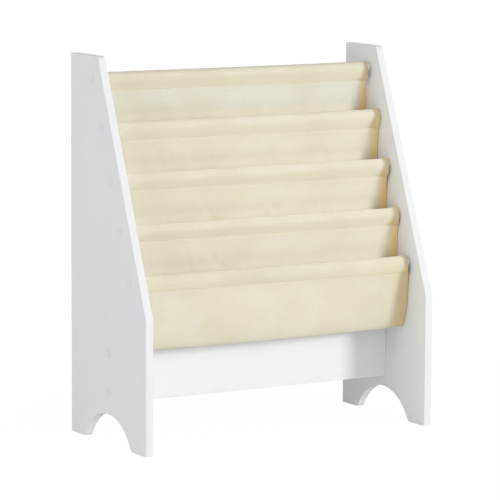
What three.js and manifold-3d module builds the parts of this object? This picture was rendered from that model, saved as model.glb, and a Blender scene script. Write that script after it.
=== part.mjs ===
// A children's sling bookshelf. Two white side panels stand on arched feet. Five dowels and a low
// cross board hold them apart, and a sewn cloth strip hangs over the dowels in four pockets.
// Sizes are millimetres. X runs from left to right, Y from front to back, and Z up.
// The origin lies on the floor, under the middle of the shelf.
import * as THREE from "three";
import { mergeVertices } from "three/addons/utils/BufferGeometryUtils.js";
import Module from "manifold-3d";

const wasm = await Module();
wasm.setup();

// Side panels: plumb in front up to plumbHeight, leaning back above it
const shelfWidth = 600;
const shelfHeight = 690;
const panelDepth = 280;
const panelTopDepth = 103;
const plumbHeight = 243;
const panelThickness = 15;
const topCornerLength = 6;
const kinkCornerLength = 3;
const edgeSoftening = 1;

// Foot arches, cut out of the panels' lower edges
const frontFootLength = 54;
const rearFootLength = 53;
const archHeight = 54;
const footCornerLength = 6.5;

// Dowels, numbered from the top one down, in line with the leaning front edge
const dowelCount = 5;
const dowelDiameter = 16;
const dowelPitch = 88;
const topDowelDrop = 40;
const dowelSetback = 40;
const dowelEndChamfer = 1;

// Cross board, under the pockets and halfway back
const boardHeight = 108;
const boardThickness = 15;
const boardRise = 74;
const boardScrewInset = 19;

// Sling cloth: a sleeve round each dowel, closed by a stitched band, and a pocket between sleeves
const clothThickness = 1.2;
const clothSideGap = 5;
const seamDrop = 25;
const seamBandHeight = 4;
const seamForward = 1.5;
const lastSeamForward = 6;
const pocketDrop = 122;
const pocketBendHeight = 80;
const pocketSag = 3;
const sideDrawIn = 2.5;
const rippleHeight = 0.8;

// Countersunk wood screws, and the stick-on discs that cover their heads
const screwLength = 45;
const screwShankDiameter = 4.5;
const screwHeadDiameter = 9;
const screwHeadHeight = 3;
const screwHeadSink = 0.5;
const screwTipLength = 5;
const driveSocketDiameter = 4;
const driveSocketDepth = 1.5;
const coverDiameter = 18;
const coverThickness = 0.5;
const coverChamfer = 0.2;

// Clearances, and the length by which a cutter runs past a face
const seatGap = 0.3;
const holeGap = 0.3;
const pilotTipGap = 1;
const cutOverrun = 1;

// Numbers of facets and of cloth folds
const cornerSegments = 10;
const dowelSegments = 24;
const sleeveArcSegments = 8;
const screwSegments = 10;
const coverSegments = 20;
const softeningSegments = 2;
const wallRows = 4;
const bendRows = 14;
const clothColumns = 16;
const rippleCount = 3;

const panelFaceX = shelfWidth / 2;
const innerFaceX = panelFaceX - panelThickness;
const clothWidth = 2 * (innerFaceX - clothSideGap);
const frontY = -panelDepth / 2;
const rearY = panelDepth / 2;

// Y of a panel's front edge at a height
function frontEdge(height) {
  const lean = (panelDepth - panelTopDepth) / (shelfHeight - plumbHeight);
  return frontY + lean * Math.max(0, height - plumbHeight);
}

// Places in the plane of a panel, as (Y, Z)
const dowelPlaces = Array.from({ length: dowelCount }, (_, index) => {
  const height = shelfHeight - topDowelDrop - index * dowelPitch;
  return new THREE.Vector2(frontEdge(height) + dowelSetback, height);
});
const boardY = (frontY + rearY) / 2;
const boardScrewPlaces = [
  new THREE.Vector2(boardY, boardRise + boardHeight - boardScrewInset),
  new THREE.Vector2(boardY, boardRise + boardScrewInset),
];

const whiteLacquer = { color: 0xf3f4f5, roughness: 0.42, metalness: 0 };
const dowelPaint = { color: 0xefece4, roughness: 0.55, metalness: 0 };
const creamCloth = { color: 0xe6ddc3, roughness: 0.95, metalness: 0 };
const zincSteel = { color: 0xb9bcc0, roughness: 0.35, metalness: 0.9 };
const coverPlastic = { color: 0xe9eaeb, roughness: 0.5, metalness: 0 };

// Turns a drawing's x, y and extrusion axis to the shelf's Y, Z and X
const panelPlane = new THREE.Matrix4().makeBasis(
  new THREE.Vector3(0, 1, 0),
  new THREE.Vector3(0, 0, 1),
  new THREE.Vector3(1, 0, 0),
);

function mesh(name, geometry, finish) {
  const made = new THREE.Mesh(geometry, new THREE.MeshStandardMaterial(finish));
  made.name = name;
  return made;
}

// A closed geometry as a solid that can be cut
function toSolid(geometry) {
  const bare = new THREE.BufferGeometry().setIndex(geometry.index);
  bare.setAttribute("position", geometry.getAttribute("position"));
  const merged = mergeVertices(bare);
  return new wasm.Manifold(
    new wasm.Mesh({
      numProp: 3,
      vertProperties: new Float32Array(merged.getAttribute("position").array),
      triVerts: new Uint32Array(merged.index.array),
    }),
  );
}

function toGeometry(solid) {
  const { vertProperties, triVerts } = solid.getMesh();
  const geometry = new THREE.BufferGeometry();
  geometry.setAttribute("position", new THREE.BufferAttribute(vertProperties, 3));
  geometry.setIndex(new THREE.BufferAttribute(triVerts, 1));
  geometry.computeVertexNormals();
  return geometry;
}

function cut(geometry, cutters) {
  const whole = toSolid(geometry);
  return toGeometry(cutters.reduce((left, cutter) => left.subtract(toSolid(cutter)), whole));
}

// Solid of revolution about the local Y axis, from (radius, height) pairs listed upwards
function revolve(profile, segments) {
  const points = profile.map(([radius, height]) => new THREE.Vector2(radius, height));
  return new THREE.LatheGeometry(points, segments);
}

// Lays a geometry that was revolved about Y with its top outwards, on the left (-1) or right (1)
function faceOutwards(geometry, side) {
  return geometry.rotateZ((-side * Math.PI) / 2);
}

// Draws straight edges through the corners and rounds each over its own length along both edges
function roundedOutline(corners) {
  const shape = new THREE.Shape();
  corners.forEach(({ at, length }, index) => {
    const before = corners[(index + corners.length - 1) % corners.length].at;
    const after = corners[(index + 1) % corners.length].at;
    const start = at.clone().add(before.clone().sub(at).setLength(length));
    const end = at.clone().add(after.clone().sub(at).setLength(length));
    if (index === 0) shape.moveTo(start.x, start.y);
    else shape.lineTo(start.x, start.y);
    if (length > 0) shape.quadraticCurveTo(at.x, at.y, end.x, end.y);
  });
  shape.closePath();
  return shape;
}

// Panel outline, from the rear foot round over the top to the front foot, then back along the arch
function panelOutline() {
  const archStart = new THREE.Vector2(frontY + frontFootLength, 0);
  const archEnd = new THREE.Vector2(rearY - rearFootLength, 0);
  const halfChord = (archEnd.x - archStart.x) / 2;
  const archRadius = (archHeight ** 2 + halfChord ** 2) / (2 * archHeight);
  const centre = new THREE.Vector2((archStart.x + archEnd.x) / 2, archHeight - archRadius);
  const springing = Math.atan2(-centre.y, -halfChord);
  const fillet = footCornerLength / archRadius;
  const startAngle = springing - fillet;
  const endAngle = Math.PI - springing + fillet;
  const onArch = (angle) =>
    new THREE.Vector2(Math.cos(angle), Math.sin(angle)).multiplyScalar(archRadius).add(centre);

  const topFrontY = rearY - panelTopDepth;
  const shape = new THREE.Shape();
  shape.moveTo(archEnd.x + footCornerLength, 0);
  shape.lineTo(rearY, 0);
  shape.lineTo(rearY, shelfHeight);
  const top = new THREE.Vector2(topFrontY, shelfHeight);
  const kink = new THREE.Vector2(frontY, plumbHeight);
  const downSlope = kink.clone().sub(top).normalize();
  const topEnd = top.clone().addScaledVector(downSlope, topCornerLength);
  const kinkStart = kink.clone().addScaledVector(downSlope, -kinkCornerLength);
  shape.lineTo(topFrontY + topCornerLength, shelfHeight);
  shape.quadraticCurveTo(top.x, top.y, topEnd.x, topEnd.y);
  shape.lineTo(kinkStart.x, kinkStart.y);
  shape.quadraticCurveTo(kink.x, kink.y, frontY, plumbHeight - kinkCornerLength);
  shape.lineTo(frontY, 0);
  shape.lineTo(archStart.x - footCornerLength, 0);
  const archFirst = onArch(startAngle);
  shape.quadraticCurveTo(archStart.x, 0, archFirst.x, archFirst.y);
  shape.absarc(centre.x, centre.y, archRadius, startAngle, endAngle, true);
  shape.quadraticCurveTo(archEnd.x, 0, archEnd.x + footCornerLength, 0);
  return shape;
}

// Cutter for a screw's clearance hole and countersink, with its height zero at the outer face
function screwHole(side) {
  const shank = screwShankDiameter / 2 + holeGap;
  const head = screwHeadDiameter / 2 + holeGap;
  const profile = [
    [0, -panelThickness - cutOverrun],
    [shank, -panelThickness - cutOverrun],
    [shank, -screwHeadSink - screwHeadHeight],
    [head, -screwHeadSink],
    [head, cutOverrun],
    [0, cutOverrun],
  ];
  return faceOutwards(revolve(profile, screwSegments), side);
}

function sidePanel(side) {
  const slab = new THREE.ExtrudeGeometry(panelOutline(), {
    depth: panelThickness - 2 * edgeSoftening,
    curveSegments: cornerSegments,
    bevelThickness: edgeSoftening,
    bevelSize: edgeSoftening,
    bevelOffset: -edgeSoftening,
    bevelSegments: softeningSegments,
  });
  slab.translate(0, 0, edgeSoftening - panelThickness / 2).applyMatrix4(panelPlane);
  const holes = [...dowelPlaces, ...boardScrewPlaces].map(({ x, y }) =>
    screwHole(side).translate((side * panelThickness) / 2, x, y),
  );
  return cut(slab, holes);
}

// How far a screw's tip reaches past a panel's inner face, and the pilot hole that takes it
const screwReach = screwHeadSink + screwLength - panelThickness;
const pilotDepth = screwReach - seatGap + pilotTipGap;
const pilotRadius = screwShankDiameter / 2 + holeGap;

// Dowel with chamfered ends and a pilot hole in each end, revolved about its own length
function dowel() {
  const radius = dowelDiameter / 2;
  const half = innerFaceX - seatGap;
  const upperHalf = [
    [radius, half - dowelEndChamfer],
    [radius - dowelEndChamfer, half],
    [pilotRadius, half],
    [pilotRadius, half - pilotDepth],
    [0, half - pilotDepth],
  ];
  const lowerHalf = upperHalf.map(([r, height]) => [r, -height]).reverse();
  return revolve([...lowerHalf, ...upperHalf], dowelSegments).rotateZ(-Math.PI / 2);
}

function crossBoard() {
  const corner = (x, y) => ({ at: new THREE.Vector2(x, y), length: edgeSoftening });
  const front = -boardThickness / 2;
  const back = boardThickness / 2;
  const section = roundedOutline([
    corner(front, 0),
    corner(back, 0),
    corner(back, boardHeight),
    corner(front, boardHeight),
  ]);
  const length = 2 * (innerFaceX - seatGap);
  const plank = new THREE.ExtrudeGeometry(section, {
    depth: length,
    curveSegments: softeningSegments,
    bevelEnabled: false,
  });
  plank.translate(0, 0, -length / 2).applyMatrix4(panelPlane);
  const pilot = [
    [0, -pilotDepth],
    [pilotRadius, -pilotDepth],
    [pilotRadius, cutOverrun],
    [0, cutOverrun],
  ];
  const pilots = [-1, 1].flatMap((side) =>
    boardScrewPlaces.map(({ y }) =>
      faceOutwards(revolve(pilot, screwSegments), side).translate(
        (side * length) / 2,
        0,
        y - boardRise,
      ),
    ),
  );
  return cut(plank, pilots);
}

// Angle at which a straight line from a point touches a circle round the origin
function touchAngle(point, radius, side) {
  return Math.atan2(point.y, point.x) + side * Math.acos(radius / point.length());
}

// How far a sleeve's stitched band hangs in front of its dowel's centre: the lowest sleeve ends the
// strip, and its front layer alone carries the pocket
const bandForward = (index) => (index === dowelCount - 1 ? lastSeamForward : seamForward);
const bandThickness = 2 * clothThickness + seatGap;

// Sleeve section round a dowel's centre: an arc over the dowel and two tangents down to the band
function sleeve(index) {
  const innerRadius = dowelDiameter / 2 + seatGap;
  const outerRadius = innerRadius + clothThickness;
  const middle = -bandForward(index);
  const bandTop = -seamDrop + seamBandHeight / 2;
  const bandBottom = -seamDrop - seamBandHeight / 2;
  const frontCorner = new THREE.Vector2(middle - bandThickness / 2, bandTop);
  const rearCorner = new THREE.Vector2(middle + bandThickness / 2, bandTop);
  const fork = new THREE.Vector2(middle, bandTop);

  const outline = new THREE.Shape();
  outline.moveTo(frontCorner.x, bandBottom);
  outline.lineTo(rearCorner.x, bandBottom);
  outline.lineTo(rearCorner.x, rearCorner.y);
  const outerRear = touchAngle(rearCorner, outerRadius, 1);
  const outerFront = touchAngle(frontCorner, outerRadius, -1) + 2 * Math.PI;
  outline.absarc(0, 0, outerRadius, outerRear, outerFront, false);
  outline.lineTo(frontCorner.x, frontCorner.y);
  outline.closePath();

  const bore = new THREE.Path();
  const innerRear = touchAngle(fork, innerRadius, 1);
  const innerFront = touchAngle(fork, innerRadius, -1) + 2 * Math.PI;
  bore.moveTo(fork.x, fork.y);
  bore.lineTo(innerRadius * Math.cos(innerRear), innerRadius * Math.sin(innerRear));
  bore.absarc(0, 0, innerRadius, innerRear, innerFront, false);
  bore.closePath();
  outline.holes.push(bore);

  const tube = new THREE.ExtrudeGeometry(outline, {
    depth: clothWidth,
    curveSegments: sleeveArcSegments,
    bevelEnabled: false,
  });
  return tube.translate(0, 0, -clothWidth / 2).applyMatrix4(panelPlane);
}

// Places down a pocket's middle surface as { at, out, share }: down the back wall, round the bend,
// which is half an ellipse, and up the front wall. Each has the normal that points out of the pocket.
function pocketRun(index) {
  const rear = dowelPlaces[index];
  const front = dowelPlaces[index + 1];
  const layer = (clothThickness + seatGap) / 2;
  const bandEnd = seamDrop + seamBandHeight / 2 + seatGap;
  const lowest = index === dowelCount - 2;
  const backY = rear.x - bandForward(index) - layer;
  const wallY = front.x - bandForward(index + 1) + (lowest ? -layer : layer);
  const bendTop = front.y - pocketDrop + pocketBendHeight;
  const centreY = (backY + wallY) / 2;
  const halfWidth = (backY - wallY) / 2;

  const run = [];
  for (let row = 0; row < wallRows; row++) {
    const height = THREE.MathUtils.lerp(rear.y - bandEnd, bendTop, row / wallRows);
    run.push({ at: new THREE.Vector2(backY, height), out: new THREE.Vector2(1, 0) });
  }
  for (let row = 0; row <= bendRows; row++) {
    const angle = (Math.PI * row) / bendRows;
    const across = Math.cos(angle);
    const down = Math.sin(angle);
    run.push({
      at: new THREE.Vector2(
        centreY + halfWidth * across,
        bendTop - pocketBendHeight * down,
      ),
      out: new THREE.Vector2(pocketBendHeight * across, -halfWidth * down).normalize(),
    });
  }
  run.push({ at: new THREE.Vector2(wallY, front.y - bandEnd), out: new THREE.Vector2(-1, 0) });

  let length = 0;
  run.forEach((station, row) => {
    if (row > 0) length += station.at.distanceTo(run[row - 1].at);
    station.length = length;
  });
  run.forEach((station) => {
    station.share = station.length / length;
  });
  return run;
}

// A pocket as one closed sheet: its run carried across the width, with a slack middle, side edges
// that draw in, and shallow folds that fade out towards the two stitched bands
function pocket(index) {
  const run = pocketRun(index);
  const halfWidth = clothWidth / 2;
  const position = [];
  for (const face of [clothThickness / 2, -clothThickness / 2])
    for (const { at, out, share } of run)
      for (let column = 0; column <= clothColumns; column++) {
        const across = (2 * column) / clothColumns - 1;
        const slack = Math.sin(Math.PI * share);
        const fold = rippleHeight * slack * Math.cos(Math.PI * rippleCount * across);
        position.push(
          across * (halfWidth - sideDrawIn * slack),
          at.x + out.x * face + fold,
          at.y + out.y * face - pocketSag * slack * (1 - across ** 2),
        );
      }

  const columns = clothColumns + 1;
  const rows = run.length;
  const inner = rows * columns;
  const indices = [];
  const quad = (a, b, c, d) => indices.push(a, c, b, a, d, c);
  for (let row = 0; row + 1 < rows; row++)
    for (let column = 0; column < clothColumns; column++) {
      const corner = row * columns + column;
      quad(corner, corner + columns, corner + columns + 1, corner + 1);
      quad(inner + corner, inner + corner + 1, inner + corner + columns + 1, inner + corner + columns);
    }
  for (let row = 0; row + 1 < rows; row++) {
    const left = row * columns;
    const right = left + clothColumns;
    quad(left, inner + left, inner + left + columns, left + columns);
    quad(right, right + columns, inner + right + columns, inner + right);
  }
  for (let column = 0; column < clothColumns; column++) {
    const end = (rows - 1) * columns + column;
    quad(column, column + 1, inner + column + 1, inner + column);
    quad(end, inner + end, inner + end + 1, end + 1);
  }

  const sheet = new THREE.BufferGeometry();
  sheet.setAttribute("position", new THREE.Float32BufferAttribute(position, 3));
  sheet.setIndex(indices);
  sheet.computeVertexNormals();
  return sheet;
}

// Countersunk screw with a drive socket in its head and a pointed tip, its height zero at the face
function screw(side) {
  const shank = screwShankDiameter / 2;
  const headTop = -screwHeadSink;
  const profile = [
    [0, headTop - screwLength],
    [shank, headTop - screwLength + screwTipLength],
    [shank, headTop - screwHeadHeight],
    [screwHeadDiameter / 2, headTop],
    [driveSocketDiameter / 2, headTop],
    [0, headTop - driveSocketDepth],
  ];
  return faceOutwards(revolve(profile, screwSegments), side);
}

// Thin disc with a chamfered rim, stuck on over a screw
function screwCover(side) {
  const radius = coverDiameter / 2;
  const profile = [
    [0, seatGap],
    [radius, seatGap],
    [radius, seatGap + coverThickness - coverChamfer],
    [radius - coverChamfer, seatGap + coverThickness],
    [0, seatGap + coverThickness],
  ];
  return faceOutwards(revolve(profile, coverSegments), side);
}

const shelf = new THREE.Group();

for (const [side, hand] of [[-1, "left"], [1, "right"]]) {
  const panel = mesh(`side_panel_${hand}`, sidePanel(side), whiteLacquer);
  panel.position.x = side * (innerFaceX + panelThickness / 2);
  shelf.add(panel);

  const outerFace = new THREE.Group();
  outerFace.position.x = side * panelFaceX;
  dowelPlaces.forEach(({ x, y }, index) => {
    const made = mesh(`dowel_screw_${hand}_${index + 1}`, screw(side), zincSteel);
    made.position.set(0, x, y);
    outerFace.add(made);
  });
  boardScrewPlaces.forEach(({ x, y }, index) => {
    const made = mesh(`board_screw_${hand}_${index + 1}`, screw(side), zincSteel);
    made.position.set(0, x, y);
    outerFace.add(made);
  });
  [...dowelPlaces, ...boardScrewPlaces].forEach(({ x, y }, index) => {
    const made = mesh(`screw_cover_${hand}_${index + 1}`, screwCover(side), coverPlastic);
    made.position.set(0, x, y);
    outerFace.add(made);
  });
  shelf.add(outerFace);
}

const board = mesh("cross_board", crossBoard(), whiteLacquer);
board.position.set(0, boardY, boardRise);
shelf.add(board);

dowelPlaces.forEach(({ x, y }, index) => {
  const tier = new THREE.Group();
  tier.position.set(0, x, y);
  tier.add(mesh(`dowel_${index + 1}`, dowel(), dowelPaint));
  tier.add(mesh(`sleeve_${index + 1}`, sleeve(index), creamCloth));
  shelf.add(tier);
});

for (let index = 0; index + 1 < dowelCount; index++)
  shelf.add(mesh(`pocket_${index + 1}`, pocket(index), creamCloth));

export default shelf;
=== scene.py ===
# %% [markdown]
# # A children's sling bookshelf
# Two white side panels stand on arched feet and lean back towards the top. Five dowels and a low
# cross board join them, and a strip of cream canvas hangs over the dowels as four book pockets.
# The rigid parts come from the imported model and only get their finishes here. The canvas is made
# anew, because cloth needs hems, folds and stitching that a plain solid leaves out.

import math

import bpy
import numpy as np
from mathutils import Matrix, Vector


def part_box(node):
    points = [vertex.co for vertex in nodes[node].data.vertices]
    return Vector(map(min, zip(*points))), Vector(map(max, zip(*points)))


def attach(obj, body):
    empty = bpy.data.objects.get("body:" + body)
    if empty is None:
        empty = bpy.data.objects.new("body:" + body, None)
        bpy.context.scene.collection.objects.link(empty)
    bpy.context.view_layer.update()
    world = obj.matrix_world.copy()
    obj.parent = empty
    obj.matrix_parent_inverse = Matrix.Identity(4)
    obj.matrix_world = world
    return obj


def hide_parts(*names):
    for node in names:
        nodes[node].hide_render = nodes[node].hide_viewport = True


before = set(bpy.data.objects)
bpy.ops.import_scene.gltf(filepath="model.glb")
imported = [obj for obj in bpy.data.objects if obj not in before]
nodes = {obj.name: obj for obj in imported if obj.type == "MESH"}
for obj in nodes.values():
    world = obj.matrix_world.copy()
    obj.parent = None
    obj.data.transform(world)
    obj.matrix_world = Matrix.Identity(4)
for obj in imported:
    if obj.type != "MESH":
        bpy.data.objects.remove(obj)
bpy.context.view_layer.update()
MM = 0.001

# %% [markdown]
# The shelf is seen from its front left, a little from above, through a long lens more than five
# metres away, so that its upright edges stay parallel. A camera could be placed by hand and turned
# until it fits. Here its place, its turn and its focal length are numbers that were worked out from
# the corners of the panels, so the view can be set exactly in one go.

# %% Camera
VIEW_AZIMUTH = math.radians(30.789)
VIEW_ELEVATION = math.radians(7.854)
VIEW_ROLL = math.radians(0.313)
CAMERA_PLACE = (-2.8683, -4.8023, 1.1012)
FOCAL_PIXELS = 3102.486
PICTURE_PIXELS = 500
SENSOR_WIDTH = 36


def place_camera():
    """Camera axes from azimuth, elevation and roll: it looks along its own -Z, with +Y up."""
    level = math.cos(VIEW_ELEVATION)
    forward = Vector(
        (math.sin(VIEW_AZIMUTH) * level, math.cos(VIEW_AZIMUTH) * level, -math.sin(VIEW_ELEVATION))
    )
    level_right = Vector((math.cos(VIEW_AZIMUTH), -math.sin(VIEW_AZIMUTH), 0))
    level_up = level_right.cross(forward)
    right = level_right * math.cos(VIEW_ROLL) + level_up * math.sin(VIEW_ROLL)
    turn = Matrix((right, right.cross(forward), -forward)).transposed().to_4x4()
    lens = bpy.data.cameras.new("studio_camera")
    lens.sensor_width = SENSOR_WIDTH
    lens.lens = SENSOR_WIDTH * FOCAL_PIXELS / PICTURE_PIXELS
    lens.clip_end = 100
    camera = bpy.data.objects.new("studio_camera", lens)
    camera.matrix_world = Matrix.Translation(CAMERA_PLACE) @ turn
    bpy.context.scene.collection.objects.link(camera)
    bpy.context.scene.camera = camera
    return camera


camera = place_camera()
bpy.context.scene.view_settings.view_transform = "Standard"
print("focal length", round(camera.data.lens, 2), "mm")

# %% [markdown]
# Finishes are built from nodes. Wiring every node by hand hides the sums behind them. Here one
# function adds any node, and a small class stands for a socket and lets plain Python arithmetic
# add the Math nodes: with it, `1 - mask * 0.2` is two nodes.

# %% Sockets that can be calculated with


class Value:
    """One output socket. Arithmetic on it adds Math nodes to the same tree."""

    def __init__(self, tree, socket):
        self.tree, self.socket = tree, socket

    def math(self, operation, *others):
        return math_node(self.tree, operation, self, *others)

    def __add__(self, other):
        return self.math("ADD", other)

    def __radd__(self, other):
        return math_node(self.tree, "ADD", other, self)

    def __sub__(self, other):
        return self.math("SUBTRACT", other)

    def __rsub__(self, other):
        return math_node(self.tree, "SUBTRACT", other, self)

    def __mul__(self, other):
        return self.math("MULTIPLY", other)

    def __rmul__(self, other):
        return math_node(self.tree, "MULTIPLY", other, self)

    def between(self, low, high):
        """0 below low, 1 above high, and a smooth step from one to the other."""
        smooth = {"interpolation_type": "SMOOTHSTEP"}
        return add_node(self.tree, "ShaderNodeMapRange", smooth, {0: self, 1: low, 2: high})


def add_node(tree, kind, settings=None, inputs=None, output=0):
    """Adds a node: first its settings, then its sockets, by name or by place. A Value is linked
    to its socket. A plain number, colour or vector is set. Closing nodes have no output."""
    made = tree.nodes.new(kind)
    for key, value in (settings or {}).items():
        setattr(made, key, value)
    for key, value in (inputs or {}).items():
        if isinstance(value, Value):
            tree.links.new(value.socket, made.inputs[key])
        else:
            made.inputs[key].default_value = value
    return Value(tree, made.outputs[output]) if made.outputs else None


def math_node(tree, operation, *values):
    """One Math node over plain numbers and Values."""
    return add_node(tree, "ShaderNodeMath", {"operation": operation}, dict(enumerate(values)))


# %% [markdown]
# A finish is one material while it is being built. The kinds of node that come back again and again
# have short methods of their own.

# %% A material under construction


def paint(red, green, blue):
    """A screen colour, 0 to 255 a channel, as the linear colour that a shader wants."""
    screen = np.array([red, green, blue]) / 255
    linear = np.where(screen <= 0.04045, screen / 12.92, ((screen + 0.055) / 1.055) ** 2.4)
    return (*linear.tolist(), 1.0)


class Finish:
    """A node tree that starts empty and ends in one shader."""

    def __init__(self, name):
        self.material = bpy.data.materials.new(name)
        self.material.use_nodes = True
        self.tree = self.material.node_tree
        self.tree.nodes.clear()

    def node(self, kind, settings=None, inputs=None, output=0):
        return add_node(self.tree, kind, settings, inputs, output)

    def noise(self, place, scale, detail=2.0, roughness=0.5):
        inputs = {"Vector": place, "Scale": scale, "Detail": detail, "Roughness": roughness}
        return self.node("ShaderNodeTexNoise", inputs=inputs)

    def blend(self, factor, first, second, kind="MIX", clamped=True):
        """A colour between two others, or for another kind the first one changed by the second."""
        return self.node(
            "ShaderNodeMix",
            {"data_type": "RGBA", "blend_type": kind, "clamp_factor": clamped},
            {0: factor, 6: first, 7: second},
            output=2,
        )

    def stretched(self, place, *scale):
        return self.node("ShaderNodeVectorMath", {"operation": "MULTIPLY"}, {0: place, 1: scale})

    def bump(self, height, distance, strength=1.0, under=None):
        """A normal that shows height, in units of distance in metres, over the normal under it."""
        inputs = {"Height": height, "Distance": distance, "Strength": strength}
        if under is not None:
            inputs["Normal"] = under
        return self.node("ShaderNodeBump", inputs=inputs)

    def surface(self, **inputs):
        """Ends the tree with a Principled shader. Words in socket names are joined with _."""
        named = {key.replace("_", " "): value for key, value in inputs.items()}
        return self.ended(self.node("ShaderNodeBsdfPrincipled", inputs=named))

    def ended(self, shader):
        self.node("ShaderNodeOutputMaterial", inputs={"Surface": shader})
        return self.material

    def object_place(self):
        return self.node("ShaderNodeTexCoord", output="Object")

    def carried(self, name):
        """A vector that the piece keeps at each of its points."""
        return self.node("ShaderNodeAttribute", {"attribute_name": name}, output="Vector")

    def part(self, vector, axis):
        return self.node("ShaderNodeSeparateXYZ", inputs={0: vector}, output=axis)


# %% [markdown]
# The panels and the board are fibreboard under sprayed white lacquer. Close up such a surface is
# never flat: the spray dries into fine orange peel, the film is a little glossier in some places
# than in others, and the cut edges drink more lacquer than the faces and keep a trace of the fibres.
# All three are noise at their own scale. The edges are found from the surface's direction: on a
# panel they are whatever doesn't face left or right.

# %% White lacquer


def lacquer(name, face_axis):
    """Sprayed white lacquer on a board whose large faces look along face_axis (0 = X, 1 = Y)."""
    finish = Finish(name)
    place = finish.object_place()
    normal = finish.node("ShaderNodeNewGeometry", output="Normal")
    edge = 1 - finish.part(normal, face_axis).math("ABSOLUTE").between(0.55, 0.95)
    film = finish.noise(place, 9.0, 3.0)
    peel = finish.noise(place, 620.0, 2.0)
    fibre = finish.noise(finish.stretched(place, 900, 160, 160), 1.0, 4.0, 0.65)
    tone = finish.blend(film.between(0.3, 0.7), paint(236, 238, 239), paint(239, 240, 241))
    tone = finish.blend(edge * (fibre.between(0.3, 0.7) * 0.3 + 0.7), tone, paint(229, 230, 231))
    relief = finish.bump(peel, 0.00006, 0.55)
    relief = finish.bump(fibre * edge, 0.00012, 0.5, relief)
    return finish.surface(
        Base_Color=tone,
        Roughness=0.36 + film * 0.08 + edge * 0.12,
        Specular_IOR_Level=0.35,
        Normal=relief,
    )


panel_lacquer = lacquer("white_lacquer_panel", 0)
board_lacquer = lacquer("white_lacquer_board", 1)

# %% [markdown]
# The dowels are turned from a straight-grained wood and painted white. The paint fills the pores
# only partly, so a long, fine grain still runs along each rod. Stretching noise along X makes it.

# %% Painted dowels


def dowel_paint():
    finish = Finish("dowel_paint")
    place = finish.object_place()
    grain = finish.noise(finish.stretched(place, 14, 800, 800), 1.0, 4.0, 0.6)
    tone = finish.blend(grain.between(0.3, 0.75), paint(238, 236, 229), paint(226, 222, 211))
    return finish.surface(
        Base_Color=tone,
        Roughness=0.48 + grain * 0.15,
        Specular_IOR_Level=0.35,
        Normal=finish.bump(grain, 0.0002, 0.5),
    )


dowel_finish = dowel_paint()

# %% [markdown]
# The canvas is a plain weave: each thread goes over one neighbour and under the next. In numbers, a
# thread's round back is |sin| across it, and its rise and fall is a sine along it whose phase turns
# over from one thread to the next. The higher of the two thread families is what is seen. Both read
# the distance along and across the cloth that the piece itself carries, so the weave follows every
# bend. Slubs, which are thick places in the yarn, come from noise stretched along each family.
# The canvas is deeper in tone where it lies double. Light and shade are also painted into its
# colour: painted shade below each rod and towards the lowest pocket's right end, a golden painted
# shade where the right panel's shadow falls, and painted light on the sleeves' tops, in the crevices
# above them and in that shadow. Each piece keeps three numbers at every point, for how deep it is,
# how much golden painted shade and how much painted light it has. The painted light is neutral in the
# open and warm in the panel's shadow. Below zero, the golden painted shade turns to a painted cool
# white on the top wall, and the painted light turns to painted shade.

# %% Cream canvas
THREAD_PITCH = 0.75 * MM
DEEP_STEP = 0.2


def canvas(name, light, deep_tone_and_shade, shade_gold, clear, warm):
    finish = Finish(name)
    run, tones = finish.carried("cloth_run"), finish.carried("cloth_tones_and_painted_light")
    deep_and_shade, painted_shade, painted_light = [finish.part(tones, axis) for axis in range(3)]
    threads = finish.stretched(run, 1 / THREAD_PITCH, 1 / THREAD_PITCH, 1 / THREAD_PITCH)
    across, along = finish.part(threads, 0), finish.part(threads, 1)

    def family(over, by):
        """Height of the threads that lie side by side in `over` and run along `by`."""
        back = (over * math.pi).math("SINE").math("ABSOLUTE")
        wave = ((by + over.math("FLOOR")) * math.pi).math("SINE")
        return back * (wave * 0.5 + 0.5)

    warp = family(across, along)
    weft = family(along, across + 1)
    slub = finish.noise(finish.stretched(run, 900, 45, 1), 1.0, 3.0, 0.6)
    cross_slub = finish.noise(finish.stretched(run, 45, 900, 1), 1.0, 3.0, 0.6)
    cloud = finish.noise(finish.stretched(run, 1, 1, 0), 11.0, 3.0)
    yarn = slub * 0.5 + cross_slub * 0.5
    tone = finish.blend(cloud.between(0.3, 0.7) * 0.6 + yarn.between(0.35, 0.65) * 0.4, light, deep_tone_and_shade)
    # Painted shade: deeper below the rods, golden in the right panel's shadow. Then painted light
    # multiplies the tone.
    tone = finish.blend(deep_and_shade * DEEP_STEP, tone, deep_tone_and_shade)
    tone = finish.blend(painted_shade, tone, shade_gold, clamped=False)
    lift = finish.blend(painted_shade, clear, warm)
    tone = finish.blend(painted_light, tone, lift, "MULTIPLY", clamped=False)
    weave = warp.math("MAXIMUM", weft)
    relief = finish.bump(weave + yarn * 0.8, 0.00018, 0.6)
    relief = finish.bump(cloud, 0.0008, 0.25, relief)
    return finish.surface(
        Base_Color=tone,
        Roughness=0.86 + yarn * 0.1,
        Specular_IOR_Level=0.2,
        Sheen_Weight=0.12,
        Sheen_Roughness=0.5,
        Normal=relief,
    )


# The golden colour is that of painted shade, and the last two tints are painted light: neutral in the
# open, warm in the right panel's shadow. The deep colour serves for painted shade too.
canvas_finish = canvas(
    "cream_cloth",
    light=paint(228, 224, 208),
    deep_tone_and_shade=paint(222, 214, 188),
    shade_gold=paint(225, 201, 146),
    clear=(1.27, 1.27, 1.3, 1.0),
    warm=(1.25, 1.15, 1.0, 1.0),
)

# %% [markdown]
# Sewing thread is two strands twisted together, a little brighter than the cloth. A sine along the
# slanting direction of the twist, read from the stitch's own length and angle, shows them.

# %% Sewing thread


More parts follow.
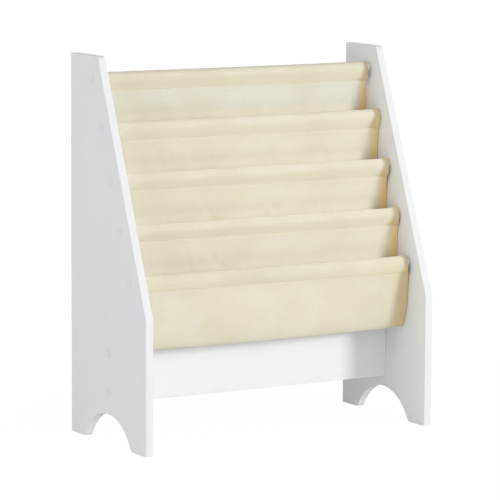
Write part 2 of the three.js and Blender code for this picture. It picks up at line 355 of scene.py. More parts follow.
def sewing_thread():
    finish = Finish("cream_thread")
    run = finish.carried("thread_run")
    length, angle = finish.part(run, 0), finish.part(run, 1)
    strands = (length * 4500 + angle * 2).math("SINE") * 0.5 + 0.5
    tone = finish.blend(strands, paint(222, 212, 188), paint(240, 234, 218))
    return finish.surface(
        Base_Color=tone,
        Roughness=0.6,
        Specular_IOR_Level=0.35,
        Sheen_Weight=0.1,
        Normal=finish.bump(strands, 0.00008, 0.6),
    )


thread_finish = sewing_thread()

# %% [markdown]
# The screws are zinc plated steel: a metal with a soft, slightly mottled shine. The discs over them
# are matte white film, a touch greyer than the lacquer, and that is all that lets them be seen.

# %% Screws and their covers


def zinc():
    finish = Finish("zinc_steel")
    mottle = finish.noise(finish.object_place(), 800.0, 3.0)
    return finish.surface(
        Base_Color=finish.blend(mottle, paint(196, 199, 203), paint(176, 179, 184)),
        Metallic=1.0,
        Roughness=0.28 + mottle * 0.2,
    )


def cover_film():
    finish = Finish("cover_plastic")
    grain = finish.noise(finish.object_place(), 1500.0, 2.0)
    return finish.surface(
        Base_Color=finish.blend(grain, paint(235, 237, 238), paint(232, 233, 235)),
        Roughness=0.5 + grain * 0.1,
        Specular_IOR_Level=0.35,
        Normal=finish.bump(grain, 0.00004, 0.4),
    )


zinc_finish = zinc()
cover_finish = cover_film()

for name, node in nodes.items():
    if name.startswith("side_panel"):
        chosen = panel_lacquer
    elif name == "cross_board":
        chosen = board_lacquer
    elif name.startswith(("dowel_screw", "board_screw")):
        chosen = zinc_finish
    elif name.startswith("dowel"):
        chosen = dowel_finish
    elif name.startswith("screw_cover"):
        chosen = cover_finish
    else:
        chosen = canvas_finish
    node.data.materials.clear()
    node.data.materials.append(chosen)
print("finishes:", [material.name for material in bpy.data.materials])

# %% [markdown]
# Cloth could be a sheet with a Solidify modifier, but a hem is thicker than the rest, and its edge
# is round. So the cloth's middle surface is worked out first, and then both faces are pushed away
# from it along its normals by half of a thickness that may differ from point to point.

# %% From a middle surface to closed cloth


def rounded_edge(distance, reach):
    """Quarter circle: 0 at an edge, 1 at `reach` from it and beyond."""
    share = np.clip(distance / reach, 0, 1)
    return np.sqrt(1 - (1 - share) ** 2)


def smooth_step(value, low, high):
    """Cubic step from 0 at low to 1 at high."""
    share = np.clip((value - low) / (high - low), 0, 1)
    return share * share * (3 - 2 * share)


def bell(value, middle, width):
    """Bell curve: 1 at middle, and nearly 0 from twice its width away."""
    return np.exp(-(((value - middle) / width) ** 2))


def normals_of(middle):
    """Unit normals of a grid of points: the cross product of its two directions."""
    normal = np.cross(np.gradient(middle, axis=1), np.gradient(middle, axis=0))
    return normal / np.linalg.norm(normal, axis=2, keepdims=True)


def strip_quads(first, second):
    """Quads between two rows of vertex numbers."""
    return np.stack([first[:-1], first[1:], second[1:], second[:-1]], axis=1)


def closed_cloth(name, middle, half, along, tones):
    """Both faces of the cloth are middle ± half * normal, and four strips close its rim. If the
    volume inside comes out below zero, the shape is inside out, so its faces are turned round.

    middle has rows x columns x 3 numbers and half rows x columns. along is each row's distance down
    the cloth. tones are three fields: deep with painted shade, golden painted shade and painted
    light, and the last two show only where the cloth faces forward or up."""
    normal = normals_of(middle)
    faces = [middle + normal * half[..., None], middle - normal * half[..., None]]
    number = np.arange(half.size).reshape(half.shape)
    other = number + half.size
    quads = [
        np.stack([number[:-1, :-1], number[1:, :-1], number[1:, 1:], number[:-1, 1:]], 2),
        np.stack([other[:-1, :-1], other[:-1, 1:], other[1:, 1:], other[1:, :-1]], 2),
    ]
    quads = [block.reshape(-1, 4) for block in quads] + [
        strip_quads(number[0], other[0]),
        strip_quads(other[-1], number[-1]),
        strip_quads(other[:, 0], number[:, 0]),
        strip_quads(number[:, -1], other[:, -1]),
    ]
    points = np.concatenate([face.reshape(-1, 3) for face in faces])
    quads = np.concatenate(quads)
    first, second, third, fourth = np.moveaxis(points[quads], 1, 0)
    outwards = np.cross(second, third) + np.cross(third, fourth)
    if np.sum(first * outwards) < 0:
        quads = quads[:, ::-1]
    piece = mesh_piece(name, points, quads, canvas_finish)
    run = np.zeros((2, *half.shape, 3))
    run[..., 0], run[..., 1] = columns, along[:, None]
    note(piece, "cloth_run", run)
    deep_and_shade, painted_shade, painted_light = tones
    painted = []
    # The painted shade and light go only on the faces that look forward or up.
    for side in (1, -1):
        forward = smooth_step(side * (0.6 * normal[..., 2] - normal[..., 1]), 0, 0.4)
        painted.append(np.stack(np.broadcast_arrays(deep_and_shade, painted_shade * forward, painted_light * forward), 2))
    note(piece, "cloth_tones_and_painted_light", np.stack(painted))
    return piece, faces[0], faces[1], normal


def mesh_piece(name, points, quads, material):
    """A smooth shaded mesh object at the origin, with its place in its points."""
    mesh = bpy.data.meshes.new(name)
    mesh.from_pydata(points.tolist(), [], quads.tolist())
    mesh.polygons.foreach_set("use_smooth", np.ones(len(quads), bool))
    mesh.materials.append(material)
    mesh.update()
    piece = bpy.data.objects.new(name, mesh)
    bpy.context.scene.collection.objects.link(piece)
    return piece


def note(piece, name, vectors):
    """Keeps a vector at each of a mesh's points, where its material can read it."""
    attribute = piece.data.attributes.new(name, "FLOAT_VECTOR", "POINT")
    attribute.data.foreach_set("vector", vectors.ravel())


# %% [markdown]
# Every section of cloth is a path in the plane across the shelf, carried from side to side. Cloth
# has no corners, so each path is drawn with straight lines and arcs and then blurred a little along
# its length. The blur is a weighted mean over the neighbours, with a bell curve as the weights.

# %% Paths
STEP = 0.25 * MM


def lengths_down(points):
    """Distance from the first point of a path to each of its points, measured along it."""
    return np.r_[0, np.cumsum(np.linalg.norm(np.diff(points, axis=0), axis=1))]


def values_at(where, lengths, values):
    """Values known at some lengths down a path, read off by straight lines at other lengths."""
    return np.stack([np.interp(where, lengths, column) for column in values.T], 1)


def softened(points, softness):
    """The path at even steps, blurred by a bell curve of width softness, with its ends kept."""
    lengths = lengths_down(points)
    path = values_at(np.arange(0, lengths[-1], STEP), lengths, points)
    reach = int(3 * softness / STEP)
    weight = np.exp(-0.5 * (np.arange(-reach, reach + 1) * STEP / softness) ** 2)
    weight /= weight.sum()
    before = 2 * path[0] - path[reach:0:-1]
    after = 2 * path[-1] - path[-2 : -reach - 2 : -1]
    padded = np.concatenate([before, path, after])
    return np.stack([np.convolve(padded[:, axis], weight, "valid") for axis in (0, 1)], 1)


def rows_along(path, spacing):
    """Rows at even steps of the sum of 1 / gap, where spacing(length, total) is the wanted gap."""
    lengths = lengths_down(path)
    density = np.cumsum(1 / spacing(lengths, lengths[-1])) * STEP
    density -= density[0]
    count = int(np.ceil(density[-1]))
    picked = np.interp(np.linspace(0, density[-1], count + 1), density, lengths)
    return values_at(picked, lengths, path), picked, lengths[-1]


def columns_across(half_width, middle_gap):
    """Distances across the cloth: close together in the hems, wide apart in between."""
    edge = np.array([0, 0.08, 0.25, 0.5, 0.85, 1.3, 2, 3, 4, 5, 6, 7, 7.6, 8.1]) * MM
    edge = np.r_[edge, np.array([8.6, 9.1, 9.5, 9.9, 10.3, 10.8, 11.6, 13, 15, 18]) * MM]
    inner = half_width - edge[-1]
    count = int(round(2 * inner / middle_gap))
    middle = np.linspace(-inner, inner, count + 1)[1:-1]
    return np.r_[edge - half_width, middle, (half_width - edge)[::-1]]


# %% [markdown]
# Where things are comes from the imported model: the dowels' middles and the width of the cloth. How
# the cloth hangs on them was read off the photo, so the lists of five run from the top sleeve down:
# how far forward, how low and how slanted its seam is, how slack its top is, and how far it has
# slipped to one side.

# %% Places on the shelf
DOWEL_COUNT = 5
WALL_CLEARANCE = 0.4 * MM
SEAM_FORWARD = np.array([1.5, 1.5, 1.5, 1.5, 6]) * MM
SEAM_DROP = np.array([28, 26.3, 24.7, 24, 20]) * MM
SEAM_SLANT = np.array([1, 0.9, 1.3, 1.6, 1.2]) * MM
TOP_SLACK = np.array([0, 1.6, 0.2, 0, 2.4]) * MM
SLEEVE_SHIFT = np.array([-2.5, 4, 1.2, 2.6, -1.6]) * MM
COLUMN_GAP = 4.5 * MM
HEM_WIDTH = 10 * MM
HEM_BLEND = 1.2 * MM
MOUTH_REACH = 18 * MM

dowel_middles = []
for number in range(1, DOWEL_COUNT + 1):
    low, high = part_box(f"dowel_{number}")
    dowel_middles.append(np.array([(low.y + high.y) / 2, (low.z + high.z) / 2]))
dowel_radius = (high.z - low.z) / 2
cloth_half_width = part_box("sleeve_1")[1].x
panel_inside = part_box("cross_board")[1].x - WALL_CLEARANCE
print("dowels at", [tuple(np.round(place, 4)) for place in dowel_middles])

columns = columns_across(cloth_half_width, COLUMN_GAP)
edge_distance = cloth_half_width - np.abs(columns)
hem = 1 - smooth_step(edge_distance, HEM_WIDTH - HEM_BLEND, HEM_WIDTH + HEM_BLEND)
mouth = bell(edge_distance, 0, MOUTH_REACH)

# %% [markdown]
# The tones of the canvas are fields over its grid, read off the photo as well. They could be painted
# by hand, but most are steps and bells over the distance to the panel, the seam or the dowel, and so
# follow a change of size. A sleeve's top gets a painted highlight of TOP_LIGHT, rising between two
# heights on the dowel, and painted shade where it is below zero, and its crest a painted highlight of
# CREST_LIGHT more. MIDDLE_DIM is painted shade over its middle. WALL_GOLD is how golden the painted
# shade of the right panel's shadow gets on each pocket's rear wall. The lowest pocket's front gets
# painted shade towards its right end and a little all over, most of all beside that panel's shadow.

# %% Tones of the cloth
TOP_LIGHT = np.array([-0.14, 0.15, 0.5, 0.55, 0.35])
TOP_FROM = np.array([-24, 2.5, 2.5, 2.5, 2.5]) * MM
TOP_FULL = np.array([-9, 8, 8, 8, 8]) * MM
CREST_LIGHT = np.array([0, 0.5, 0.6, 0.6, 0.6])
MIDDLE_DIM = np.array([0, 0, 0, 0, 0.2])
WALL_GOLD = np.array([1, 1, 1.2, 1.1])
SHADE_WIDTH = 14 * MM

# Painted shade on the lowest sleeve and pocket front: deeper towards the right end, and darker most
# beside the right panel's shadow.
low_right_shade = 4 * smooth_step(columns, 180 * MM, 270 * MM)
low_shade = 0.07 + 0.16 * bell(columns, 205 * MM, 45 * MM)


def from_panel(middle, dowel_height):
    """Distance from the right panel over the width of its shade, which widens below the dowel."""
    drop = dowel_height - middle[..., 2]
    near, far = np.clip(drop, 0, SHADE_WIDTH), np.maximum(drop - SHADE_WIDTH, 0)
    return (panel_inside - middle[..., 0]) / (SHADE_WIDTH + 0.8 * near + 0.15 * far)


def sleeve_tones(index, middle, height, rising):
    """Hems deep; painted shade below the rod and golden in the panel's shadow; painted top highlight.
    """
    # Painted shade below the rod; painted highlight on the top and crest, and less over the lowest
    # sleeve's middle.
    under_rod_shade = smooth_step(-height, 1 * MM, 10 * MM) * smooth_step(rising, 2 * MM, 5 * MM)[:, 0]
    deep_and_shade = hem[None, :] + 2.2 * under_rod_shade[:, None]
    if index == DOWEL_COUNT - 1:
        deep_and_shade = deep_and_shade + low_right_shade
    painted_shade = 0.9 * (1 - smooth_step(from_panel(middle, dowel_middles[index][1]), 0.45, 1.1))
    lit = TOP_LIGHT[index] * smooth_step(height, TOP_FROM[index], TOP_FULL[index])
    crest_highlight = smooth_step(height, height.max() - 1.5 * MM, height.max() - 0.3 * MM)
    lit = (lit + CREST_LIGHT[index] * crest_highlight)[:, None]
    return deep_and_shade, painted_shade, lit - MIDDLE_DIM[index] * bell(columns, -15 * MM, 120 * MM)


def pocket_tones(index, middle, share, double):
    """Deep where double. The rear wall gets golden painted shade in the right panel's shadow, and
    painted light there and in the crevice above the next sleeve. The top one gets a painted cool
    white where it hangs free, and the lowest one's front painted shade."""
    rear, lowest_front = share < 0.5, (share > 0.5) * (index == DOWEL_COUNT - 2)
    place = from_panel(middle, np.where(rear, dowel_middles[index][1], dowel_middles[index + 1][1]))
    above = middle[..., 2] - dowel_middles[index + 1][1]
    rear_shade = WALL_GOLD[index] * (1 - smooth_step(place, 0.1, 0.95))
    front_shade = 1 - 0.6 * smooth_step(place, 0.5, 1.1) - 0.4 * smooth_step(place, 0, 0.7)
    # Painted cool white on the top wall where it hangs free, outside the painted shade.
    free = (index == 0) * smooth_step(above, 12 * MM, 30 * MM) * (1 - rear_shade)
    crevice_light = smooth_step(above, -40 * MM, -10 * MM) * (1 - smooth_step(above, 0, 30 * MM))
    painted_light = np.maximum(0.8 - 0.8 * smooth_step(place, 0.8, 1.15), crevice_light) * rear
    painted_light = painted_light - 0.12 * free * rear - low_shade * lowest_front
    painted_shade = np.where(rear, rear_shade - 0.2 * free, front_shade)
    return double + low_right_shade * lowest_front, painted_shade, painted_light


print("deeper by up to", low_right_shade.max(), "and darker by up to", round(low_shade.max(), 2))

# %% [markdown]
# Cloth that hangs still is never quite even. Between its seams it keeps soft creases from folding
# and packing: long shallow dents, a few centimetres apart, mostly upright or a little slanted. Each
# dent is a bell curve across its own line that fades out towards both of its ends.

# %% Soft creases


def creases(across, along, seed, count, height, length, share=1.0):
    """Sum of `count` shallow dents over the grid, each a bell across a slanted line. share makes
    them narrower and shorter."""
    random = np.random.default_rng(seed)
    field = np.zeros(np.broadcast(across, along).shape)
    for _ in range(count):
        middle_across = random.uniform(-0.95, 0.95) * cloth_half_width
        middle_along = random.uniform(0.1, 0.9) * length
        slant = random.normal(0, 0.45)
        reach = random.uniform(0.16, 0.34) * length * share
        width = random.uniform(5, 13) * MM * share
        size = height * random.uniform(-1, 1)
        down = along - middle_along
        over = (across - middle_across) - slant * down
        field = field + size * np.exp(-((over / width) ** 2) - (down / reach) ** 2)
    return field


def puckers(across, seed, height):
    """Small waves along a seam, from three sines whose lengths don't fit into one another."""
    random = np.random.default_rng(seed)
    wave = np.zeros_like(across)
    for length in (11 * MM, 17 * MM, 29 * MM):
        wave = wave + np.sin(2 * np.pi * across / length + random.uniform(0, 2 * np.pi))
    return wave * height / 3


# %% [markdown]
# A sleeve is a strip of canvas laid over its dowel, with its two ends sewn together under it. From
# the side it is a tear drop: an arc over the rod, a back that runs straight down to the seam, and a
# front that bulges. Two straight lines would do for a stretched sleeve, but this one hangs slack, so
# cubic curves are used. Its mouths are hemmed and stiffer: their front drops straight and tucks in
# just above the seam. So a second, fuller outline is blended in towards both ends by a bell curve.

# %% The outline of a sleeve
CLOTH = 1.0 * MM
LAYER_GAP = 0.1 * MM
TAIL = 3 * MM
FLAT_ABOVE_SEAM = 2 * MM
SNUG_RADIUS = dowel_radius + 0.3 * MM + CLOTH / 2
OPEN_RADIUS = SNUG_RADIUS + 0.3 * MM
ARC_FRONT, ARC_REAR = math.radians(130), math.radians(12)
SLACK_FRONT = 8 * MM, 20 * MM, math.radians(22)
OPEN_FRONT = 7 * MM, 11 * MM, math.radians(78)
REAR_PULL = 6 * MM
REAR_TUCK = np.array([3.4, 9.4]) * MM
SLEEVE_SOFTNESS = 1.1 * MM


def curve(start, first, second, end, count=40):
    """Cubic curve from start to end, whose two middle points pull it."""
    share = np.linspace(0, 1, count)[:, None]
    rest = 1 - share
    return (
        rest**3 * start
        + 3 * rest**2 * share * first
        + 3 * rest * share**2 * second
        + share**3 * end
    )


def sleeve_path(index, radius, arc_pull, seam_pull, seam_slope):
    """Front tail, bulging front, arc over the rod, rear, rear tail, as (Y, Z) about the dowel.

    arc_pull and seam_pull say for how long the front follows the directions of its two ends, and
    seam_slope is the angle from upright at which it runs into the seam."""
    forward, drop = SEAM_FORWARD[index], SEAM_DROP[index] - FLAT_ABOVE_SEAM
    spread = (CLOTH + LAYER_GAP) / 2
    front, rear = np.array([(-forward - spread, -drop), (-forward + spread, -drop)])
    angles = np.linspace(ARC_FRONT, ARC_REAR, 60)
    arc = np.stack([np.cos(angles), np.sin(angles)], 1) * radius + (0, TOP_SLACK[index])
    down_front = np.array([-math.sin(angles[0]), math.cos(angles[0])])
    down_rear = np.array([math.sin(angles[-1]), -math.cos(angles[-1])])
    into_seam = np.array([-math.sin(seam_slope), math.cos(seam_slope)])
    front_side = curve(front, front + into_seam * seam_pull, arc[0] + down_front * arc_pull, arc[0])
    rear_side = curve(arc[-1], arc[-1] + down_rear * REAR_PULL, rear + REAR_TUCK, rear)
    tail = -SEAM_DROP[index] - TAIL
    path = np.vstack([(front[0], tail), front_side, arc[1:-1], rear_side, (rear[0], tail)])
    return softened(path, SLEEVE_SOFTNESS)


slack_paths = [sleeve_path(index, SNUG_RADIUS, *SLACK_FRONT) for index in range(DOWEL_COUNT)]
open_paths = [sleeve_path(index, OPEN_RADIUS, *OPEN_FRONT) for index in range(DOWEL_COUNT)]
print("sleeves' outlines:", [len(path) for path in slack_paths], "points")

# %% [markdown]
# The outline is then carried across the shelf. Every point of it moves a little on the way: along
# the cloth's own normal for the hems, puckers and creases, and up or down where the sleeve's ends
# stand higher and its seam slants. The cloth is thicker in its hems and rounded at every edge.

# %% Sleeves
FOLD = 3.5 * MM
END_RISE = 0.5 * MM
PUCKER_HEIGHT = 0.3 * MM


def sleeve_spacing(length, total):
    """Rows lie close together at the stitched lines and further apart over the rod."""
    seam = np.minimum(np.abs(length - FOLD), np.abs(total - length - FOLD))
    return (0.5 + 0.9 * smooth_step(seam, 3 * MM, 12 * MM)) * MM


def outward(places):
    """Unit normals of an outline, turned so that the topmost one looks up."""
    slope = np.gradient(places, axis=0)
    out = np.stack([-slope[:, 1], slope[:, 0]], 1)
    out /= np.linalg.norm(out, axis=1, keepdims=True)
    return -out if out[np.argmax(places[:, 1])][1] < 0 else out


def sleeve_cloth(index):
    """Sleeve round dowel `index`: slack in the middle, fuller at its mouths, with creases on it."""
    places, along, total = rows_along(slack_paths[index], sleeve_spacing)
    open_path = open_paths[index]
    open_places = values_at(along / total, np.linspace(0, 1, len(open_path)), open_path)
    out = outward(places)

    rising = np.minimum(along, total - along)[:, None]
    near_seam = bell(rising, 6 * MM, 6 * MM) * smooth_step(rising, 2 * MM, 6 * MM)
    push = 0.25 * CLOTH * hem[None, :] * smooth_step(rising, 4 * MM, 14 * MM)
    push = push + near_seam * puckers(columns, 10 + index, PUCKER_HEIGHT)[None, :]
    push = push + creases(
        columns[None, :], along[:, None], seed=20 + index, count=26, height=0.2 * MM, length=total
    )
    middle = np.empty((len(along), len(columns), 3))
    middle[..., 0] = columns + SLEEVE_SHIFT[index]
    for axis, centre in enumerate(dowel_middles[index]):
        apart = open_places[:, None, axis] - places[:, None, axis]
        outline = places[:, None, axis] + apart * mouth[None, :]
        middle[..., 1 + axis] = centre + outline + out[:, None, axis] * push
    upper = smooth_step(rising, 6 * MM, 24 * MM)
    middle[..., 2] += END_RISE * np.abs(columns / cloth_half_width) ** 2.5 * upper
    middle[..., 2] -= SEAM_SLANT[index] * columns / cloth_half_width * (1 - upper)

    half = 0.5 * CLOTH * (1 + 0.5 * hem[None, :] * smooth_step(rising, 4 * MM, 9 * MM))
    half = half * np.maximum(rounded_edge(edge_distance, 1.3 * MM)[None, :], 0.12)
    half = half * np.maximum(rounded_edge(rising, 0.5 * MM), 0.2)
    tones = sleeve_tones(index, middle, places[:, 1], rising)
    made = closed_cloth(f"sleeve_cloth_{index + 1}", middle, half, along, tones)
    return made, along, total


sleeves = [sleeve_cloth(index) for index in range(DOWEL_COUNT)]
for (piece, *_), _, total in sleeves:
    print(piece.name, len(piece.data.polygons), "quads, round", round(total / MM), "mm")

# %% [markdown]
# A pocket is one sheet that hangs down behind the books, turns round below them and comes up in
# front of them. Empty, it hangs as two plumb walls joined by a narrow bend, which half an ellipse
# matches well. Both of its ends are folded over once and sewn to a sleeve, each on the sleeve's
# outside, so the fold's edge shows as a fine raised line above the stitching.

# %% The outline of a pocket
POCKET_DROP = 122 * MM
BEND_HEIGHT = 80 * MM
BEHIND_SEAM = 0.75 * MM
PAST_TAIL = 0.5 * MM
BELOW_TAIL = 9 * MM
FOLD_LEAN = 0.32
POCKET_SOFTNESS = 1.0 * MM


def sewn_end(index, away):
    """Up a wall and onto the seam of sleeve `index`, in front of it (away = -1) or behind it (1):
    clear of the tails, flat over the stitches, then leaning away."""
    seam_y = dowel_middles[index][0] - SEAM_FORWARD[index]
    seam_z = dowel_middles[index][1] - SEAM_DROP[index]
    sewn = seam_y + away * ((CLOTH + LAYER_GAP) / 2 + CLOTH + LAYER_GAP)
    return [
        (seam_y + away * BEHIND_SEAM, seam_z - TAIL - BELOW_TAIL),
        (sewn, seam_z - TAIL - PAST_TAIL),
        (sewn, seam_z + FLAT_ABOVE_SEAM),
        (sewn + away * FOLD_LEAN * (FOLD - FLAT_ABOVE_SEAM), seam_z + FOLD),
    ]


def pocket_path(index):
    """From the fold on the front of sleeve `index` down, round and up to the next sleeve. The
    bend is the lower half of an ellipse between the two walls."""
    start = sewn_end(index, -1)[::-1]
    end = sewn_end(index + 1, -1 if index == DOWEL_COUNT - 2 else 1)
    back_y, wall_y = start[-1][0], end[0][0]
    turn = np.linspace(0, np.pi, 90)
    bend_y = (back_y + wall_y) / 2 + (back_y - wall_y) / 2 * np.cos(turn)
    bend_z = dowel_middles[index + 1][1] - POCKET_DROP + BEND_HEIGHT * (1 - np.sin(turn))
    return softened(np.vstack([start, np.stack([bend_y, bend_z], 1), end]), POCKET_SOFTNESS)


pocket_paths = [pocket_path(index) for index in range(DOWEL_COUNT - 1)]
print("pockets' outlines:", [len(path) for path in pocket_paths], "points")

# %% [markdown]
# Carried across, a pocket slackens away from its seams: it draws in at its sides, sags and ripples,
# and keeps its creases. Below the seams, the end of each wall turns back until it touches the panel,
# so that no gap shows beside it, and each wall has slipped aside with its sleeve.

# %% Pockets
WALL_SHIFT = np.array([-1.5, 4, 1, 4, 2.5]) * MM
POCKET_SAG = 3 * MM
DRAW_IN = 2.5 * MM
DRAW_IN_AT_BEND = 1.5 * MM
RIPPLE = 0.8 * MM
TURNED_WIDTH = 24 * MM
TURNED_SLOPE = 1.2


def pocket_spacing(length, total):
    """Rows lie close together at both folds and further apart on the walls."""
    return (0.5 + 2.2 * smooth_step(np.minimum(length, total - length), 6 * MM, 22 * MM)) * MM


def pocket_middle(index, places, along, total):
    """Middle surface of pocket `index`: its path carried across, slack and creased in between."""
    share, across = (along / total)[:, None], (columns / cloth_half_width)[None, :]
    slack = np.sin(np.pi * share)
    free = smooth_step(np.minimum(along, total - along), 4 * MM, 30 * MM)[:, None]
    bend = bell(along, along[np.argmin(places[:, 1])], 42 * MM)[:, None]
    grid = columns[None, :], along[:, None]
    dents = creases(*grid, seed=40 + index, count=44, height=0.9 * MM, length=total)
    dents = dents + creases(
        *grid, seed=60 + index, count=60, height=0.16 * MM, length=total, share=0.4
    )
    aside = WALL_SHIFT[index] * (1 - share) + WALL_SHIFT[index + 1] * share
    ripple = RIPPLE * slack * np.cos(3 * np.pi * across)
    middle = np.empty((len(along), len(columns), 3))
    middle[..., 0] = across * (cloth_half_width - DRAW_IN * slack - DRAW_IN_AT_BEND * bend) + aside
    middle[..., 1] = places[:, None, 0] + ripple + dents * free
    middle[..., 2] = places[:, None, 1] - POCKET_SAG * slack * (1 - across**2)
    for slant, gone in ((SEAM_SLANT[index], along), (SEAM_SLANT[index + 1], total - along)):
        middle[..., 2] -= slant * across * (1 - smooth_step(gone, 10 * MM, 90 * MM))[:, None]
    for end, inside in ((0, -panel_inside), (-1, panel_inside)):
        gap = (inside - middle[:, end, 0])[:, None] * free
        turned = gap * smooth_step(edge_distance, TURNED_WIDTH, 0) * (columns * inside > 0)
        middle[..., 0] += turned
        middle[..., 1] += TURNED_SLOPE * np.abs(turned)
    return middle


def pocket_cloth(index):
    """Pocket `index`, thicker in its hems and folds and pressed in along its stitched lines."""
    places, along, total = rows_along(pocket_paths[index], pocket_spacing)
    middle = pocket_middle(index, places, along, total)
    from_end = np.minimum(along, total - along)[:, None]
    fold = 1 - smooth_step(from_end, 6.2 * MM, 7.2 * MM)
    double = np.maximum(hem[None, :], fold)
    half = 0.5 * CLOTH * (1 + 0.7 * double) - 0.12 * MM * bell(from_end, FOLD, 0.8 * MM)
    half = half * np.maximum(rounded_edge(edge_distance, 0.9 * MM)[None, :], 0.12)
    half = half * np.maximum(rounded_edge(from_end, 0.8 * MM), 0.12)
    tones = pocket_tones(index, middle, (along / total)[:, None], double)
    made = closed_cloth(f"pocket_cloth_{index + 1}", middle, half, along, tones)
    return made, along, total


pockets = [pocket_cloth(index) for index in range(DOWEL_COUNT - 1)]
for (piece, *_), _, total in pockets:
    print(piece.name, len(piece.data.polygons), "quads, long", round(total / MM), "mm")

# %% [markdown]
# Stitches are short rods of thread that rise out of the cloth, lie along it and dive in again. One
# small rod is made as a table of numbers and copied to every place on a line at once: each copy is
# the place, plus length along the line, plus lift and roundness along the cloth's normal.

# %% Rods of thread
STITCH_PITCH = 3.4 * MM
STITCH_LENGTH = 2.9 * MM
THREAD_RADIUS = 0.27 * MM
RINGS = np.array([-1.0, -0.82, -0.3, 0.3, 0.82, 1.0])
SIDES = 6


def rod_of_thread():
    """Rings of points about a rod that bows like 1 - |length| ** 6. Returns how far each point lies
    along the line, out of the cloth and aside, the quads with both caps, and the twist's places."""
    angle = np.arange(SIDES) * 2 * np.pi / SIDES
    radius = THREAD_RADIUS * np.sqrt(np.maximum(1 - (RINGS * 0.94) ** 6, 0.04))
    lift = THREAD_RADIUS * (0.75 - 1.9 * np.abs(RINGS) ** 6)
    upward = lift[:, None] + radius[:, None] * np.cos(angle)[None, :]
    aside = radius[:, None] * np.sin(angle)[None, :]
    ahead = np.broadcast_to((RINGS * STITCH_LENGTH / 2)[:, None], aside.shape)

    number = np.arange(aside.size).reshape(aside.shape)
    turned = np.roll(number, -1, axis=1)
    sides = np.stack([number[:-1], turned[:-1], turned[1:], number[1:]], 2).reshape(-1, 4)
    caps = [number[0, [3, 2, 1, 0]], number[0, [0, 5, 4, 3]]]
    caps += [number[-1, [0, 1, 2, 3]], number[-1, [3, 4, 5, 0]]]
    twist = np.stack(np.broadcast_arrays(ahead, angle[None, :], 0.0), 2)
    return (ahead, upward, aside), np.concatenate([sides, caps]), twist


rod_amounts, rod_quads, rod_twist = rod_of_thread()
print("a stitch has", len(rod_quads), "faces")


def stitch_line(points, normals):
    """Rods at even steps along a line of points on the cloth: each rod's point is its place plus
    the rod's three amounts along the line, out of the cloth and aside."""
    lengths = lengths_down(points)
    count = int((lengths[-1] - STITCH_PITCH) / STITCH_PITCH)
    middles = lengths[-1] / 2 + (np.arange(count) - (count - 1) / 2) * STITCH_PITCH
    place, out = values_at(middles, lengths, points), values_at(middles, lengths, normals)
    next_end = values_at(middles + STITCH_LENGTH / 2, lengths, points)
    along = next_end - values_at(middles - STITCH_LENGTH / 2, lengths, points)
    along /= np.linalg.norm(along, axis=1, keepdims=True)
    out -= along * np.sum(out * along, axis=1, keepdims=True)
    out /= np.linalg.norm(out, axis=1, keepdims=True)
    rods = place[:, None, None, :]
    for vector, amount in zip((along, out, np.cross(along, out)), rod_amounts):
        rods = rods + vector[:, None, None, :] * amount[..., None]
    return rods


def thread_piece(name, lines):
    """All the stitches of some lines as one mesh."""
    rods = np.concatenate([stitch_line(*line) for line in lines])
    first_points = np.arange(len(rods)) * rod_amounts[0].size
    quads = (first_points[:, None, None] + rod_quads).reshape(-1, 4)
    piece = mesh_piece(name, rods.reshape(-1, 3), quads, thread_finish)
    note(piece, "thread_run", np.broadcast_to(rod_twist, rods.shape))
    print(name, len(piece.data.polygons), "faces")
    return piece


# %% [markdown]
# The stitches run where a sewer would put them: through sleeve and pockets at once along each seam,
# and down both side hems of every piece, just inside the turned edge. A line could be found anew on
# each surface. Here it is read from the piece's own grid, so it lies exactly on the cloth.

# %% Seams and hems
HEM_LINE = 8.1 * MM
LINE_END = 1.5 * MM
HEM_END = 8 * MM


def facing(made, direction, row):
    """The face of a piece that looks along a direction halfway across a row, and its normals."""
    _, outer, inner, normal = made
    if np.dot(normal[row, len(columns) // 2], direction) > 0:
        return outer, normal
    return inner, -normal


def across_line(cloth, where, direction):
    """Line across a piece at a distance from its start, or if below zero from its end, on the
    face that looks along direction."""
    made, along, total = cloth
    where = where if where > 0 else total + where
    row = np.searchsorted(along, where)
    share = (where - along[row - 1]) / (along[row] - along[row - 1])
    face, normal = facing(made, direction, row)
    keep = edge_distance > LINE_END
    line = face[row - 1] * (1 - share) + face[row] * share
    return line[keep], normal[row][keep]


def side_lines(cloth, direction, share):
    """The two lines down a piece, one in each side hem, on the face that looks along direction
    at a share of the rows."""
    made, along, total = cloth
    face, normal = facing(made, direction, int(len(along) * share))
    keep = (along > HEM_END) & (along < total - HEM_END)
    lines = [sign * (cloth_half_width - HEM_LINE) for sign in (-1, 1)]
    places = [np.argmin(np.abs(columns - line)) for line in lines]
    return [(face[keep, place], normal[keep, place]) for place in places]


FORWARD, BACKWARD, UP = (0, -1, 0), (0, 1, 0), (0, 0, 1)
threads = {}


def thread(kind, index, lines):
    """Makes one thread piece and keeps it under its kind and number."""
    threads[kind, index + 1] = thread_piece(f"{kind}_thread_{index + 1}", lines)


for index, sleeve in enumerate(sleeves):
    last = index == DOWEL_COUNT - 1
    front = (pockets[-1], -FOLD) if last else (pockets[index], FOLD)
    rear = (sleeve, -TAIL) if last or index == 0 else (pockets[index - 1], -FOLD)
    thread("seam", index, [across_line(*front, FORWARD), across_line(*rear, BACKWARD)])
    thread("mouth", index, side_lines(sleeve, UP, 0.5))

for index, pocket in enumerate(pockets):
    lines = side_lines(pocket, FORWARD, 0.25) + side_lines(pocket, BACKWARD, 0.25)
    thread("hem", index, lines)

# %% [markdown]
# The cloth pieces replace the plain solids of the model, and everything moves with the one rigid
# body.

# %% Tie the pieces to the model
FOLD_ALLOWANCE = 7 * MM

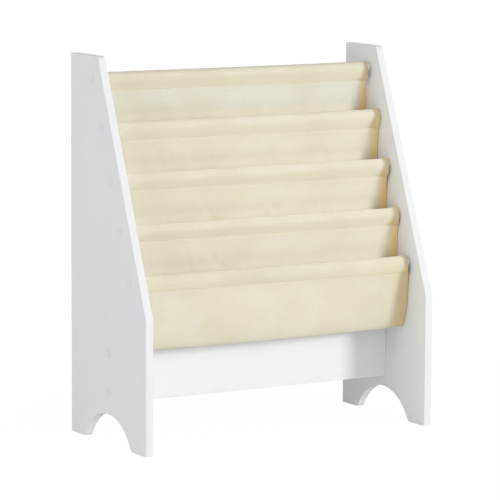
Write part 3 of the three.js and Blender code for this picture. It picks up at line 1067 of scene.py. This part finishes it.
for kind, cloths in (("sleeve", sleeves), ("pocket", pockets)):
    for index, ((piece, *_), *_) in enumerate(cloths):
        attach(piece, "root")
        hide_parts(f"{kind}_{index + 1}")
for piece in threads.values():
    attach(piece, "root")
for index, ((piece, *_), _, total) in enumerate(sleeves):
    number = index + 1
for index, ((piece, *_), _, total) in enumerate(pockets):
    total + 2 * FOLD_ALLOWANCE
    f"sleeve_cloth_{index + 1}"
    f"sleeve_cloth_{index + 2}"
    threads["hem", index + 1]

# %% [markdown]
# The shelf was photographed on a white sweep. A floor that is simply lit would turn grey away from
# the lamps, so the camera sees it mostly as plain white, and wholly so beyond the shelf's own
# shadow, while the light that it throws back up at the shelf stays that of a pale floor.

# %% Floor
FLOOR_HALF = 20.0
WHITE_SHARE = 0.95
SHADOW_REACH = 0.35, 0.9


def studio_floor():
    finish = Finish("studio_floor")
    place = finish.object_place()
    radius = finish.node("ShaderNodeVectorMath", {"operation": "LENGTH"}, {0: place}, output="Value")
    camera_ray = finish.node("ShaderNodeLightPath", output="Is Camera Ray")
    white = camera_ray * (WHITE_SHARE + radius.between(*SHADOW_REACH) * (1 - WHITE_SHARE))
    lit = finish.node("ShaderNodeBsdfDiffuse", inputs={"Color": (0.9, 0.9, 0.9, 1)})
    plain = finish.node("ShaderNodeEmission", inputs={"Color": (1, 1, 1, 1), "Strength": 1.02})
    mixed = finish.node("ShaderNodeMixShader", inputs={0: white, 1: lit, 2: plain})
    corners = np.array([(-1, -1, 0), (1, -1, 0), (1, 1, 0), (-1, 1, 0)]) * FLOOR_HALF
    return mesh_piece("studio_floor", corners, np.array([[0, 1, 2, 3]]), finish.ended(mixed))


floor = studio_floor()
print("floor", 2 * FLOOR_HALF, "m wide")

# %% [markdown]
# Three lamps and the white surround carry the picture. The surround lights every side alike. The
# key lamp stands low at the front right: it brightens the board, the cloth and the panels' front
# edges, and the right panel keeps it off the cloth's right ends and off the board's. A weak fill
# lamp at the front left keeps those ends from turning black. A side lamp at the far left lights the
# faces that look to the left, which are the left panel and the right panel's inside.

# %% Lights
LAMP_TARGET = Vector((0, 0, 0.35))
SURROUND_STRENGTH = 0.505


def soft_lamp(name, azimuth, elevation, distance, size, power):
    """A square lamp that faces the shelf from an azimuth (0 = front, + = right) and elevation."""
    azimuth, elevation = math.radians(azimuth), math.radians(elevation)
    level = math.cos(elevation)
    towards = Vector((math.sin(azimuth) * level, -math.cos(azimuth) * level, math.sin(elevation)))
    data = bpy.data.lights.new(name, "AREA")
    data.shape = "SQUARE"
    data.size = size
    data.energy = power
    lamp = bpy.data.objects.new(name, data)
    turn = towards.to_track_quat("Z", "Y").to_matrix().to_4x4()
    lamp.matrix_world = Matrix.Translation(LAMP_TARGET + towards * distance) @ turn
    bpy.context.scene.collection.objects.link(lamp)
    print(name, power, "W")


soft_lamp("key_lamp", azimuth=33, elevation=12, distance=7.0, size=1.4, power=220)
soft_lamp("fill_lamp", azimuth=-20, elevation=12, distance=3.0, size=1.2, power=9.8)
soft_lamp("side_lamp", azimuth=-80, elevation=12, distance=3.0, size=1.2, power=15.2)


def surround(strength):
    """White for the camera and in reflections, and an even light of `strength` otherwise."""
    world = bpy.data.worlds.new("studio")
    bpy.context.scene.world = world
    world.use_nodes = True
    tree = world.node_tree
    tree.nodes.clear()
    seen = add_node(tree, "ShaderNodeLightPath", output="Is Camera Ray")
    for ray in ("Is Glossy Ray", "Is Transmission Ray"):
        seen = seen.math("MAXIMUM", add_node(tree, "ShaderNodeLightPath", output=ray))
    inputs = {"Color": (1, 1, 1, 1), "Strength": seen * (1 - strength) + strength}
    light = add_node(tree, "ShaderNodeBackground", inputs=inputs)
    add_node(tree, "ShaderNodeOutputWorld", inputs={"Surface": light})


surround(SURROUND_STRENGTH)
